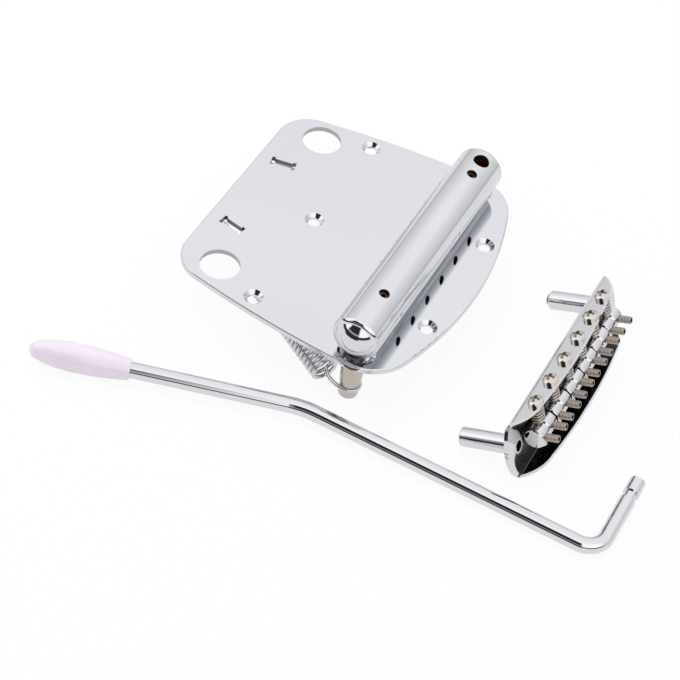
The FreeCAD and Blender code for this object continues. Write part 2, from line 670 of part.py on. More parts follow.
def bridge_channel():
    """Bent sheet trough: round ends, crowned walls, intonation screw holes and leg holes."""
    body = new_body("bridge_channel")
    sketch = new_sketch(body, "XZ_Plane")
    outer, inner = "channel_half_width", "channel_half_width - channel_sheet"
    inner_bend = "channel_bend - channel_sheet"
    outline(sketch, [
        ("0 - channel_half_width + channel_bend", "0"),
        ("channel_half_width - channel_bend", "0", "channel_bend"),
        (outer, "channel_bend"), (outer, "wall_height"), (inner, "wall_height"),
        (inner, "channel_bend", inner_bend, "left"), ("channel_half_width - channel_bend", "channel_sheet"),
        ("0 - channel_half_width + channel_bend", "channel_sheet", inner_bend, "left"),
        ("0 - channel_half_width + channel_sheet", "channel_bend"),
        ("0 - channel_half_width + channel_sheet", "wall_height"), ("- channel_half_width", "wall_height"),
        ("- channel_half_width", "channel_bend", "channel_bend")])
    feature(body, "Pad", sketch, Length="channel_half_length * 2", SideType="Symmetric")

    crown = new_sketch(body, "YZ_Plane")
    far, above = "channel_half_length + channel_sheet", "wall_height + channel_sheet"
    outline(crown, [
        ("0 - channel_half_length - channel_sheet", "channel_sheet"),
        ("- end_corner", "channel_sheet", "wall_end_curve", "left"),
        ("- wall_knee_side", "wall_knee_height", "wall_crown", "left"),
        ("wall_knee_side", "wall_knee_height", "wall_end_curve", "left"),
        ("end_corner", "channel_sheet"), (far, "channel_sheet"), (far, above),
        ("0 - channel_half_length - channel_sheet", above)])
    feature(body, "Pocket", crown, Type="ThroughAll", SideType="Symmetric")

    for side in (1, -1):
        turn = Rotation(Vector(0, 0, 1), 90 - 90 * side)
        ends = new_sketch(body, "XY_Plane", Placement(Vector(), turn))
        wide, past = "channel_half_width + channel_sheet", "channel_half_length + channel_sheet"
        outline(ends, [
            ("- channel_half_width", "end_corner", "end_curve", "left"), ("channel_half_width", "end_corner"),
            (wide, "end_corner"), (wide, past), ("0 - channel_half_width - channel_sheet", past),
            ("0 - channel_half_width - channel_sheet", "end_corner")])
        feature(body, "Pocket", ends, Type="ThroughAll", Reversed=True)

    sketch = new_sketch(body, "XY_Plane")
    circles(sketch, [("0", sign + "leg_half_spacing", "leg_spigot_radius") for sign in ("", "- ")])
    feature(body, "Pocket", sketch, Type="ThroughAll", Reversed=True)
    tools = []
    for index in range(SADDLE_COUNT):
        start = Vector(-value("channel_half_width + channel_sheet"), string_place(index), saddle_level(index))
        place = Placement(start, Rotation(Vector(0, 1, 0), 90))
        radius = "intonation_screw_radius + wall_hole_clearance"
        tools.append(cylinder("wall_hole", radius, "channel_sheet * 4", place))
    body.Label = "bridge_channel_blank"
    piece("bridge_channel", cut("bridge_channel", body, tools), BRIDGE)


def bridge_legs():
    """Hollow legs riveted through the floor, each with a screw that sets the bridge's height."""
    for number, (side, out) in enumerate(((1, "far_leg_screw_out"), (-1, "near_leg_screw_out")), 1):
        label = f"bridge_leg_{number}"
        body = turned(label, "XZ_Plane", [
            ("leg_bore_radius", "- leg_length"),
            ("leg_radius - leg_end_round", "- leg_length", "leg_end_round"),
            ("leg_radius", "0 - leg_length + leg_end_round"), ("leg_radius", "0"), ("leg_spigot_radius", "0"),
            ("leg_spigot_radius", "channel_sheet"), ("leg_bore_radius", "channel_sheet")])
        spot = side * value("leg_half_spacing")
        piece(label, body, in_bridge(0, spot, 0))
        label = f"leg_height_screw_{number}"
        screw = hex_screw(label, "leg_bore_radius - thread_clearance", "leg_screw_length")
        piece(label, screw, in_bridge(0, spot, value("0 - leg_length - " + out)))


def saddle(index):
    """Barrel saddle with a string groove, drilled for its intonation screw and two height screws."""
    label = f"saddle_{index + 1}"
    end, groove = "saddle_length / 2", "saddle_groove"
    body = turned(label, "XY_Plane", [
        ("0", "- " + end), ("saddle_radius - saddle_chamfer", "- " + end),
        ("saddle_radius", "0 - saddle_length / 2 + saddle_chamfer"), ("saddle_radius", "- " + groove),
        ("saddle_radius - saddle_groove", "0"), ("saddle_radius", groove),
        ("saddle_radius", "saddle_length / 2 - saddle_chamfer"), ("saddle_radius - saddle_chamfer", end),
        ("0", end)])
    sketch = new_sketch(body, "XY_Plane")
    bore = "height_screw_radius + thread_clearance"
    circles(sketch, [("0", sign + "height_screw_offset", bore) for sign in ("", "- ")])
    feature(body, "Pocket", sketch, Type="ThroughAll", SideType="Symmetric")
    sketch = new_sketch(body, "YZ_Plane")
    circles(sketch, [("0", "0", "intonation_screw_radius + thread_clearance")])
    feature(body, "Pocket", sketch, Type="ThroughAll", SideType="Symmetric")
    piece(label, body, in_bridge(-value("saddle_setback"), string_place(index), saddle_level(index)))


def height_screws(index):
    """The two screws that a saddle stands on."""
    label = f"height_screws_{index + 1}"
    pair = []
    for side in (1, -1):
        name = label + ("_far" if side > 0 else "_near")
        item = hex_screw(name, "height_screw_radius", "height_screw_length")
        item.Placement = Placement(Vector(0, side * value("height_screw_offset"), 0), Rotation())
        pair.append(item)
    group = doc.addObject("Part::Compound", label)
    group.Links = pair
    group.Label = label
    foot = value("channel_sheet + seat_clearance")
    piece(label, group, in_bridge(-value("saddle_setback"), string_place(index), foot))


def intonation_screw(index):
    """Round-headed screw with a cross recess; its head bears on the rear wall."""
    label = f"intonation_screw_{index + 1}"
    blank = turned(label + "_blank", "XZ_Plane", [
        ("0", "intonation_screw_length"), ("0", "- head_height", "head_curve"), ("head_radius", "- head_rim"),
        ("head_radius", "0"), ("intonation_screw_radius", "0"),
        ("intonation_screw_radius", "intonation_screw_length - screw_end_chamfer"),
        ("intonation_screw_radius - screw_end_chamfer", "intonation_screw_length")])
    bars = []
    for turn in (0, 90):
        bar = doc.addObject("Part::Box", label + "_cross")
        bind(bar, Length="cross_length", Width="cross_width", Height="cross_depth * 2")
        deep = value("head_height + cross_depth")
        corner = Vector(-value("cross_length / 2"), -value("cross_width / 2"), -deep)
        spin = Placement(Vector(), Rotation(Vector(0, 0, 1), turn))
        bar.Placement = spin.multiply(Placement(corner, Rotation()))
        bars.append(bar)
    spot = in_bridge(-value("channel_half_width + seat_clearance"), string_place(index), saddle_level(index),
                     Rotation(Vector(0, 1, 0), 90))
    piece(label, cut(label, blank, bars), spot)


def intonation_spring(index):
    """Compression spring on the intonation screw, between the rear wall and its saddle."""
    label = f"intonation_spring_{index + 1}"
    wire = value("saddle_wire")
    seat = value("0 - channel_half_width + channel_sheet + saddle_wire / 2 + coil_end_gap")
    far = value("0 - saddle_setback - saddle_radius - saddle_wire / 2 - coil_end_gap")
    turns = math.floor((far - seat) / value("saddle_coil_pitch") * 4) / 4
    pitch = (far - seat) / turns
    radius = value("saddle_coil_radius")
    stations = helix(Vector(seat, 0, 0), Vector(1, 0, 0), Vector(0, 0, 1), radius, pitch, turns)
    first, last = stations[0], stations[-1]
    ends = [(first[0] - first[1] * wire, first[1])], [(last[0] + last[1] * wire, last[1])]
    item = wound(label, ends[0] + stations + ends[1], wire)
    piece(label, item, in_bridge(0, string_place(index), saddle_level(index)))


tail_plate()
tail_bar()
for number, side in enumerate((1, -1), 1):
    pivot_post(f"pivot_post_{number}", side)
    tail_spring(f"tail_spring_{number}", side)
bar_screws()
arm_rod()
arm_tip()
bridge_channel()
bridge_legs()
for index in range(SADDLE_COUNT):
    saddle(index)
    height_screws(index)
    intonation_screw(index)
    intonation_spring(index)
doc.recompute()

for item in doc.Objects:
    if "Invalid" in item.State or "Error" in item.State:
        raise RuntimeError(item.Label + " failed: " + " ".join(item.State))
for label, item in pieces.items():
    if item.Shape.isNull() or not item.Shape.isValid():
        raise RuntimeError(label + " has no valid shape")

os.makedirs("parts", exist_ok=True)
for label, item in pieces.items():
    item.Shape.exportStep(f"parts/{label}.step")
print(len(pieces), "sub-parts written")
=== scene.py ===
# %% [markdown]
# # A chrome tremolo set, dressed over its CAD frame
# The set has three groups: a tailpiece with a rocking bar, its loose arm, and a bridge with six saddles.
# The solids come from the frame, in metres. This lesson adds finishes, wound springs and screw threads.

# %% Load the frame
import json
import math
import bmesh
import bpy
from mathutils import Matrix, Vector


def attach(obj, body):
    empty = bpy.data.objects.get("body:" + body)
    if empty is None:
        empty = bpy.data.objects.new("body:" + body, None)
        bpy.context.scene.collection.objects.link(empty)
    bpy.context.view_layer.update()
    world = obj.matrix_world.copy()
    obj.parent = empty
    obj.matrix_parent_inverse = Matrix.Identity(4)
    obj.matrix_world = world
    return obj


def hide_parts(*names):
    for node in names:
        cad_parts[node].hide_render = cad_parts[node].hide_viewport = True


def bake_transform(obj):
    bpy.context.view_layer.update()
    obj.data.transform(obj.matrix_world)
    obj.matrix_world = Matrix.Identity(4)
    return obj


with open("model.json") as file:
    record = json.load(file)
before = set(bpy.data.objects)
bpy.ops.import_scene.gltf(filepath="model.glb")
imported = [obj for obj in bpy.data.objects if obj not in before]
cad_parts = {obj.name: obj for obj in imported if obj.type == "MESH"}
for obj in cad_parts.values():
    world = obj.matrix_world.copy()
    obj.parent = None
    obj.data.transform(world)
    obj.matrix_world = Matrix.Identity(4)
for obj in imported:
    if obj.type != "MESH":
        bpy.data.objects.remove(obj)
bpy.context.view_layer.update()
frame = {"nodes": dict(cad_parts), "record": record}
MM = 0.001

# %% [markdown]
# ## Finishes
# Polished chrome is a mirror with a faint cool tint. What makes it look real is what it reflects, and a
# little unevenness: very fine polishing lines and a slow change of gloss. Both come from noise on Object
# coordinates, so they stay with the piece when it moves. Scratches could also come from an image, but
# that needs unwrapped solids, and noise fits any shape.

# %% A metal finish with polishing lines
PATCH_SHADE = 0.93
LINES_PER_PATCH = 60
LINE_DEPTH = 0.02 * MM


def metal(name, tint, gloss, haze, lines, scale, stretch=(1.0, 1.0, 1.0)):
    """Metal with a base gloss, slow hazy patches and fine lines; sizes are per metre."""
    finish = bpy.data.materials.new(name)
    finish.use_nodes = True
    nodes, links = finish.node_tree.nodes, finish.node_tree.links
    shader = nodes["Principled BSDF"]
    shader.inputs["Metallic"].default_value = 1.0
    place = nodes.new("ShaderNodeTexCoord")
    slow = nodes.new("ShaderNodeTexNoise")
    slow.inputs["Scale"].default_value = scale
    slow.inputs["Detail"].default_value = 3.0
    links.new(place.outputs["Object"], slow.inputs["Vector"])
    gloss_range = nodes.new("ShaderNodeMapRange")
    gloss_range.inputs["To Min"].default_value = gloss
    gloss_range.inputs["To Max"].default_value = gloss + haze
    links.new(slow.outputs["Fac"], gloss_range.inputs["Value"])
    links.new(gloss_range.outputs["Result"], shader.inputs["Roughness"])
    shade = nodes.new("ShaderNodeMix")
    shade.data_type = "RGBA"
    shade.inputs[6].default_value = (*(PATCH_SHADE * c for c in tint), 1.0)
    shade.inputs[7].default_value = (*tint, 1.0)
    links.new(slow.outputs["Fac"], shade.inputs[0])
    links.new(shade.outputs[2], shader.inputs["Base Color"])
    turn = nodes.new("ShaderNodeMapping")
    turn.inputs["Scale"].default_value = stretch
    links.new(place.outputs["Object"], turn.inputs["Vector"])
    fine = nodes.new("ShaderNodeTexNoise")
    fine.inputs["Scale"].default_value = scale * LINES_PER_PATCH
    fine.inputs["Detail"].default_value = 2.0
    links.new(turn.outputs["Vector"], fine.inputs["Vector"])
    bump = nodes.new("ShaderNodeBump")
    bump.inputs["Strength"].default_value = lines
    bump.inputs["Distance"].default_value = LINE_DEPTH
    links.new(fine.outputs["Fac"], bump.inputs["Height"])
    links.new(bump.outputs["Normal"], shader.inputs["Normal"])
    return finish


finishes = {
    "chrome_plate": metal("plate_chrome", (0.77, 0.775, 0.79), 0.03, 0.04, 0.04, 20),
    "chrome_bar": metal("bar_chrome", (0.78, 0.785, 0.80), 0.02, 0.04, 0.05, 30, (1, 0.1, 1)),
    "chrome_rod": metal("rod_chrome", (0.79, 0.795, 0.81), 0.02, 0.04, 0.05, 30, (0.1, 1, 1)),
    "chrome_bridge": metal("channel_chrome", (0.77, 0.775, 0.79), 0.03, 0.05, 0.05, 40),
    "saddle_chrome": metal("saddle_chrome", (0.76, 0.76, 0.77), 0.04, 0.05, 0.06, 60, (1, 0.2, 1)),
    "nickel_post": metal("post_nickel", (0.60, 0.55, 0.49), 0.22, 0.12, 0.15, 80),
    "set_screw_steel": metal("set_screw_steel", (0.14, 0.09, 0.06), 0.30, 0.12, 0.2, 120),
    "leg_screw_steel": metal("leg_screw_steel", (0.42, 0.38, 0.34), 0.25, 0.12, 0.2, 120),
    "height_screw_steel": metal("height_screw_steel", (0.47, 0.40, 0.34), 0.22, 0.12, 0.2, 120),
    "intonation_nickel": metal("screw_nickel", (0.74, 0.70, 0.64), 0.06, 0.06, 0.1, 120),
    "tail_spring_steel": metal("spring_chrome", (0.68, 0.69, 0.71), 0.10, 0.06, 0.1, 100),
    "small_spring_steel": metal("small_spring_steel", (0.60, 0.54, 0.48), 0.12, 0.08, 0.1, 150),
}
print("metal finishes:", len(finishes))

# %% [markdown]
# Some places get a tint and gloss of their own, mixed in by a mask that is built on Object coordinates too.
# The bores, the bar's underside, the tops of the posts and the inside of the bridge get painted shade where
# they see little light. Punched edges get a duller metal that is dark grey, and the rivet ends a paler satin
# one whose pale tint is a painted highlight. A second material on picked faces could do it, but a mask
# needs no picking and leaves the solids as they are.

# %% Helpers for masks
def maths(tree, operation, *sources):
    """Math node; each source is a socket or a number."""
    node = tree.nodes.new("ShaderNodeMath")
    node.operation = operation
    for socket, source in zip(node.inputs, sources):
        if isinstance(source, (int, float)):
            socket.default_value = source
        else:
            tree.links.new(source, socket)
    return node.outputs[0]


def local_axes(tree, spot, turn=0.0):
    """X, Y and Z in millimetres, in axes that stand at a spot and are turned about Y."""
    place = tree.nodes.new("ShaderNodeTexCoord")
    axes = tree.nodes.new("ShaderNodeMapping")
    axes.vector_type = "TEXTURE"
    axes.inputs["Location"].default_value = Vector(spot) * MM
    axes.inputs["Rotation"].default_value = (0.0, turn, 0.0)
    axes.inputs["Scale"].default_value = (MM, MM, MM)
    tree.links.new(place.outputs["Object"], axes.inputs["Vector"])
    split = tree.nodes.new("ShaderNodeSeparateXYZ")
    tree.links.new(axes.outputs["Vector"], split.inputs[0])
    return split.outputs["X"], split.outputs["Y"], split.outputs["Z"]


def reach(tree, first, second):
    """Distance from zero in two of the axes."""
    squares = [maths(tree, "MULTIPLY", axis, axis) for axis in (first, second)]
    return maths(tree, "SQRT", maths(tree, "ADD", *squares))


def both(tree, first, second):
    return maths(tree, "MULTIPLY", first, second)


def inside(tree, source, low, high):
    return both(tree, maths(tree, "GREATER_THAN", source, low), maths(tree, "LESS_THAN", source, high))


def dull_and_painted_light_where(finish, mask, tint, gloss):
    """Mix another tint and gloss into a finish where the mask is 1; it paints shade and highlights as well
    as duller metal.
    """
    tree = finish.node_tree
    shader = tree.nodes["Principled BSDF"]
    for name, kind, slots, mixed_tone in (("Base Color", "RGBA", (6, 7, 2), (*tint, 1.0)),
                                    ("Roughness", "FLOAT", (2, 3, 0), gloss)):
        mix = tree.nodes.new("ShaderNodeMix")
        mix.data_type = kind
        tree.links.new(mask, mix.inputs[0])
        tree.links.new(shader.inputs[name].links[0].from_socket, mix.inputs[slots[0]])
        mix.inputs[slots[1]].default_value = mixed_tone
        tree.links.new(mix.outputs[slots[2]], shader.inputs[name])


print("mask helpers:", [helper.__name__ for helper in (maths, local_axes, reach, both, inside, dull_and_painted_light_where)])

# %% [markdown]
# The bar's bores look dark brown; that dark colour is painted shade, as inside a hole. Its underside faces
# the plate, so it mirrors less light. Many bounces of light between bar and plate could show that, but a
# painted shade by height is steadier. The posts get painted shade where they pass through the plate.

# %% Painted shade on the bar and its posts
POST_X, POST_Y, BAR_LEVEL = 55.6, 46.0, 11.4
BORE_REACH, BORE_END = 7.9, 46.5
UNDER_FADE, PIVOT_LEVEL = 4.0, -1.0
tree = finishes["chrome_bar"].node_tree
x, y, z = local_axes(tree, (POST_X, 0.0, BAR_LEVEL))
# Painted shade: the bar turns darker and blue-grey towards its underside, by height.
underside_shade = maths(tree, "MINIMUM", maths(tree, "MAXIMUM", maths(tree, "DIVIDE", z, -UNDER_FADE), 0.0), 1.0)
dull_and_painted_light_where(finishes["chrome_bar"], underside_shade, (0.47, 0.49, 0.53), 0.05)
# Painted shade: the bores are painted dark brown.
deep = maths(tree, "LESS_THAN", reach(tree, x, z), BORE_REACH)
bore_shade = both(tree, deep, inside(tree, y, -BORE_END, BORE_END))
dull_and_painted_light_where(finishes["chrome_bar"], bore_shade, (0.24, 0.11, 0.07), 0.5)

tree = finishes["nickel_post"].node_tree
height = local_axes(tree, (0.0, 0.0, 0.0))[2]
# Painted shade: the posts are painted near black above the pivot level.
post_top_shade = maths(tree, "GREATER_THAN", height, PIVOT_LEVEL)
dull_and_painted_light_where(finishes["nickel_post"], post_top_shade, (0.13, 0.12, 0.12), 0.35)
print("post is dark above z:", PIVOT_LEVEL)

# %% [markdown]
# The plate's slots and leg holes are punched, so their walls are less smooth. They are also made dark
# grey, darker in the slots than in the leg holes. Those walls are the only faces between the plate's two
# sides there, so a range of heights and a distance from each hole find them.

# %% Dull places on the plate
SLOT_X, SLOT_Y, SLOT_REACH = -5.6, 18.4, 9.0
LEG_Y, HOLE_REACH = 37.0, 7.5
EDGE_LOW, EDGE_HIGH = 0.1, 1.85
tree = finishes["chrome_plate"].node_tree
x, y, z = local_axes(tree, (0.0, 0.0, 0.0))
fold = maths(tree, "ABSOLUTE", y)
from_slot = reach(tree, maths(tree, "SUBTRACT", x, SLOT_X), maths(tree, "SUBTRACT", fold, SLOT_Y))
from_hole = reach(tree, x, maths(tree, "SUBTRACT", fold, LEG_Y))
edge = inside(tree, z, EDGE_LOW, EDGE_HIGH)
slot_edge = both(tree, edge, maths(tree, "LESS_THAN", from_slot, SLOT_REACH))
hole_edge = both(tree, edge, maths(tree, "LESS_THAN", from_hole, HOLE_REACH))
dull_and_painted_light_where(finishes["chrome_plate"], slot_edge, (0.16, 0.16, 0.17), 0.25)
dull_and_painted_light_where(finishes["chrome_plate"], hole_edge, (0.45, 0.45, 0.47), 0.25)
print("plate edges between z:", EDGE_LOW, EDGE_HIGH)

# %% [markdown]
# The bridge's channel is bent from sheet, and its inside mirrors its own walls. That makes it dark in the
# middle and lighter towards the ends. Small lamps could be set inside it, but a painted shade along its
# length is simpler, and the inside of the front wall gets a near-black painted shade. The rivets that hold
# the legs end in satin rings, whose pale tint is a painted highlight.

# %% Painted shade and pale rivet ends inside the bridge
BRIDGE_AT, BRIDGE_TURN = Vector((114.16, -7.3, -8.17)), math.radians(67.988)
TROUGH_HALF, TROUGH_LOW, TROUGH_HIGH = 10.4, 1.25, 9.0
FRONT_WALL, RIVET_REACH = 9.0, 2.65
FADE_FROM, FADE_LENGTH = 31.0, 10.0
tree = finishes["chrome_bridge"].node_tree
x, y, z = local_axes(tree, BRIDGE_AT, BRIDGE_TURN)
fold = maths(tree, "ABSOLUTE", y)
trough = both(tree, inside(tree, x, -TROUGH_HALF, TROUGH_HALF), inside(tree, z, TROUGH_LOW, TROUGH_HIGH))
from_leg = reach(tree, x, maths(tree, "SUBTRACT", fold, LEG_Y))
# Painted shade: the trough's floor is painted dark grey, fading out towards the ends.
trough_floor_shade = both(tree, trough, maths(tree, "GREATER_THAN", from_leg, RIVET_REACH))
fade = maths(tree, "DIVIDE", maths(tree, "SUBTRACT", fold, FADE_FROM), FADE_LENGTH)
fade = maths(tree, "MINIMUM", maths(tree, "MAXIMUM", maths(tree, "SUBTRACT", 1.0, fade), 0.0), 1.0)
dull_and_painted_light_where(finishes["chrome_bridge"], both(tree, trough_floor_shade, fade), (0.26, 0.26, 0.27), 0.30)
# Painted shade: the inside of the front wall is painted near black.
front_wall_shade = both(tree, trough, maths(tree, "GREATER_THAN", x, FRONT_WALL))
dull_and_painted_light_where(finishes["chrome_bridge"], front_wall_shade, (0.06, 0.06, 0.065), 0.22)
# The rivet ends are satin, and their pale tint is a painted highlight.
rivet_satin_and_highlight = both(tree, trough, maths(tree, "LESS_THAN", from_leg, RIVET_REACH))
dull_and_painted_light_where(finishes["chrome_bridge"], rivet_satin_and_highlight, (0.90, 0.89, 0.87), 0.55)
print("trough shade fades from y:", FADE_FROM, "to", FADE_FROM + FADE_LENGTH)

# %% [markdown]
# The handle at the arm's end is moulded plastic, pale pink with a wet gloss. A clear coat over a slightly
# mottled body colour gives it depth. The real one has no grain, so soft noise is enough and no image is
# needed.

# %% Pale moulded plastic for the handle
PLASTIC_SURFACE = {"Roughness": 0.22, "Coat Weight": 0.5, "Coat Roughness": 0.06}
MOTTLE_SCALE, MOTTLE_SHADE = 90, 0.94


def moulded(name, tint):
    finish = bpy.data.materials.new(name)
    finish.use_nodes = True
    nodes, links = finish.node_tree.nodes, finish.node_tree.links
    shader = nodes["Principled BSDF"]
    for quality, amount in PLASTIC_SURFACE.items():
        shader.inputs[quality].default_value = amount
    place = nodes.new("ShaderNodeTexCoord")
    cloud = nodes.new("ShaderNodeTexNoise")
    cloud.inputs["Scale"].default_value = MOTTLE_SCALE
    cloud.inputs["Detail"].default_value = 4.0
    links.new(place.outputs["Object"], cloud.inputs["Vector"])
    shade = nodes.new("ShaderNodeMix")
    shade.data_type = "RGBA"
    shade.inputs[6].default_value = (*(MOTTLE_SHADE * c for c in tint), 1.0)
    shade.inputs[7].default_value = (*tint, 1.0)
    links.new(cloud.outputs["Fac"], shade.inputs[0])
    links.new(shade.outputs[2], shader.inputs["Base Color"])
    return finish


finishes["tip_plastic"] = moulded("handle_plastic", (0.86, 0.76, 0.87))

slot_of = {item["node"]: item["material_slot"] for item in frame["record"]["subparts"]}
for node, solid in frame["nodes"].items():
    solid.data.materials.clear()
    solid.data.materials.append(finishes[slot_of[node]])
print("dressed nodes:", len(slot_of))

# %% [markdown]
# ## Wound springs
# Two long extension springs pull the posts forward, and six short ones push the saddles away from the
# rear wall. A spring is one wire, so one path runs through its hooks and its coil, with a station and a
# heading at each quarter turn. A Geometry Nodes tree then sweeps a round section along that path. A Screw
# modifier could wind the coil, but its hooks would be pieces of their own.

# %% Tree that sweeps a wire along a path
def wire_tree():
    tree = bpy.data.node_groups.new("wound_wire", "GeometryNodeTree")
    face = tree.interface
    face.new_socket("Path", in_out="INPUT", socket_type="NodeSocketGeometry")
    face.new_socket("Wire radius", in_out="INPUT", socket_type="NodeSocketFloat")
    face.new_socket("Sides", in_out="INPUT", socket_type="NodeSocketInt")
    face.new_socket("Finish", in_out="INPUT", socket_type="NodeSocketMaterial")
    face.new_socket("Wire", in_out="OUTPUT", socket_type="NodeSocketGeometry")
    inlet = tree.nodes.new("NodeGroupInput")
    outlet = tree.nodes.new("NodeGroupOutput")
    section = tree.nodes.new("GeometryNodeCurvePrimitiveCircle")
    sweep = tree.nodes.new("GeometryNodeCurveToMesh")
    sweep.inputs["Fill Caps"].default_value = True
    smooth = tree.nodes.new("GeometryNodeSetShadeSmooth")
    whole = tree.nodes.new("GeometryNodeRealizeInstances")
    paint = tree.nodes.new("GeometryNodeSetMaterial")
    join = tree.links.new
    join(inlet.outputs["Wire radius"], section.inputs["Radius"])
    join(inlet.outputs["Sides"], section.inputs["Resolution"])
    join(inlet.outputs["Path"], sweep.inputs["Curve"])
    join(section.outputs["Curve"], sweep.inputs["Profile Curve"])
    join(sweep.outputs["Mesh"], smooth.inputs["Geometry"])
    join(smooth.outputs["Geometry"], whole.inputs["Geometry"])
    join(whole.outputs["Geometry"], paint.inputs["Geometry"])
    join(inlet.outputs["Finish"], paint.inputs["Material"])
    join(paint.outputs["Geometry"], outlet.inputs["Wire"])
    return tree


def set_inputs(modifier, **values):
    """Set a tree's named inputs; underscores in a name stand for spaces."""
    for item in modifier.node_group.interface.items_tree:
        if item.in_out == "INPUT" and item.name.replace(" ", "_") in values:
            modifier[item.identifier] = values[item.name.replace(" ", "_")]


def settled(host, name):
    """Plain mesh object with the shape that the host's modifiers give it."""
    graph = bpy.context.evaluated_depsgraph_get()
    mesh = bpy.data.meshes.new_from_object(host.evaluated_get(graph), depsgraph=graph)
    data = host.data
    bpy.data.objects.remove(host)
    if isinstance(data, bpy.types.Curve):
        bpy.data.curves.remove(data)
    else:
        bpy.data.meshes.remove(data)
    mesh.name = name
    piece = bpy.data.objects.new(name, mesh)
    bpy.context.scene.collection.objects.link(piece)
    return piece


WIRE = wire_tree()
WIRE_SIDES = 16
print("nodes in the wire tree:", len(WIRE.nodes))

# %% [markdown]
# The path could be a chain of many straight steps. A Bezier path needs only four points a turn, because
# each point has a heading as well as a place. A helix and a half loop are the two shapes that a spring is
# made of.

# %% Path through stations
HANDLE_SHARE = 0.39


def path_through(name, stations):
    """Bezier path; the handle's share of a step is the one that makes a quarter circle round."""
    curve = bpy.data.curves.new(name, "CURVE")
    curve.dimensions = "3D"
    curve.resolution_u = 7
    spline = curve.splines.new("BEZIER")
    spline.bezier_points.add(len(stations) - 1)
    for index, (point, (spot, heading)) in enumerate(zip(spline.bezier_points, stations)):
        before = stations[max(index - 1, 0)][0]
        after = stations[min(index + 1, len(stations) - 1)][0]
        point.co = spot * MM
        point.handle_left = (spot - heading * HANDLE_SHARE * (spot - before).length) * MM
        point.handle_right = (spot + heading * HANDLE_SHARE * (after - spot).length) * MM
    host = bpy.data.objects.new(name, curve)
    bpy.context.scene.collection.objects.link(host)
    return host


def helix(base, axis, side, radius, pitch, turns):
    across = axis.cross(side)
    stations = []
    for step in range(round(turns * 4) + 1):
        angle = math.radians(90 * step)
        out = side * math.cos(angle) + across * math.sin(angle)
        along = across * math.cos(angle) - side * math.sin(angle)
        heading = along * (2 * math.pi * radius) + axis * pitch
        stations.append((base + out * radius + axis * (pitch * step / 4), heading.normalized()))
    return stations


def half_loop(centre, ahead, side, radius):
    return [(centre + side * radius, ahead), (centre + ahead * radius, -side),
            (centre - side * radius, -ahead)]


def wound(name, stations, wire, finish):
    host = path_through(name, stations)
    sweep = host.modifiers.new("wire", "NODES")
    sweep.node_group = WIRE
    set_inputs(sweep, Wire_radius=wire / 2 * MM, Sides=WIRE_SIDES, Finish=finishes[finish])
    return settled(host, name)


print("handle's share of a step:", HANDLE_SHARE)

# %% [markdown]
# Each tail spring's hook sits in a post's groove. After the coil a straight shank runs on to the tongue
# under the plate's slot. When the bar rocks, one end moves and the other stays, so a rigid piece would pull
# away from its hook.

# %% Tail springs
TAIL_WIRE, COIL_RADIUS, HOOK_RADIUS, TONGUE_RADIUS = 1.4, 4.0, 3.45, 2.5
COIL_PITCH, COIL_TURNS, SHANK_LEAD = 1.87, 20, 5.0
GROOVE_LEVEL, TONGUE_LEVEL = -13.6, -2.6
SLOT_SLOPE, TONGUE_REACH = math.radians(11.0), 5.2
COIL_AHEAD, COIL_OUT, COIL_UP = 8.8, 0.3, 0.2
for number, side in ((1, 1), (2, -1)):
    post = Vector((POST_X, side * POST_Y, GROOVE_LEVEL))
    slope = side * SLOT_SLOPE
    tongue = Vector((math.cos(slope), math.sin(slope), 0)) * TONGUE_REACH
    anchor = Vector((SLOT_X, side * SLOT_Y, TONGUE_LEVEL)) - tongue
    start = post + Vector((-COIL_AHEAD, side * COIL_OUT, COIL_UP))
    axis = (anchor - start).normalized()
    flat = Vector((axis.x, axis.y, 0)).normalized()
    near = Vector((0, 0, 1)).cross(flat)
    front, side_on = Vector((-1, 0, 0)), Vector((0, -1, 0))
    hook = half_loop(post, -front, -side_on, HOOK_RADIUS)
    hook = [(hook[0][0] + front * TAIL_WIRE, -front), *hook, (hook[-1][0] + front * TAIL_WIRE, front)]
    tail = half_loop(anchor, flat, -near, TONGUE_RADIUS)
    tail = [(tail[0][0] - flat * TAIL_WIRE, flat), *tail, (tail[-1][0] - flat * TAIL_WIRE, -flat)]
    coil = helix(start, axis, axis.cross(near), COIL_RADIUS, COIL_PITCH, COIL_TURNS)
    shank = start + axis * (COIL_PITCH * COIL_TURNS + SHANK_LEAD)
    stations = [*hook, *coil, (shank, axis), *tail]
    spring = wound(f"tail_spring_wire_{number}", stations, TAIL_WIRE, "tail_spring_steel")
    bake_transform(spring)
    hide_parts(f"tail_spring_{number}")
    print(spring.name, "faces:", len(spring.data.polygons))

# %% [markdown]
# ## Bridge frame
# The bridge lies on its leg ends, tilted about the cross axis. Everything on it is laid out in its own
# axes: x runs from the rear wall to the front wall, y along the channel, z from the legs towards the
# strings.

# %% Bridge axes and saddle places
BRIDGE_X = Vector((math.cos(BRIDGE_TURN), 0.0, -math.sin(BRIDGE_TURN)))
BRIDGE_Z = Vector((-BRIDGE_X.z, 0.0, BRIDGE_X.x))
CHANNEL_HALF, SHEET = 11.6, 1.3
SADDLES, STRING_PITCH = 6, 11.3
SETBACK, SADDLE_RADIUS = 0.5, 3.6
SADDLE_HEIGHT, SADDLE_ARCH = 5.8, 0.45
MIDDLE = (SADDLES - 1) / 2


def in_bridge(x, y, z):
    return BRIDGE_AT + BRIDGE_X * x + Vector((0, y, 0)) + BRIDGE_Z * z


def string_side(index):
    return (index - MIDDLE) * STRING_PITCH


def saddle_level(index):
    return SADDLE_HEIGHT - SADDLE_ARCH * ((index - MIDDLE) / MIDDLE) ** 2


print("saddles:", SADDLES, "pitch in mm:", STRING_PITCH)
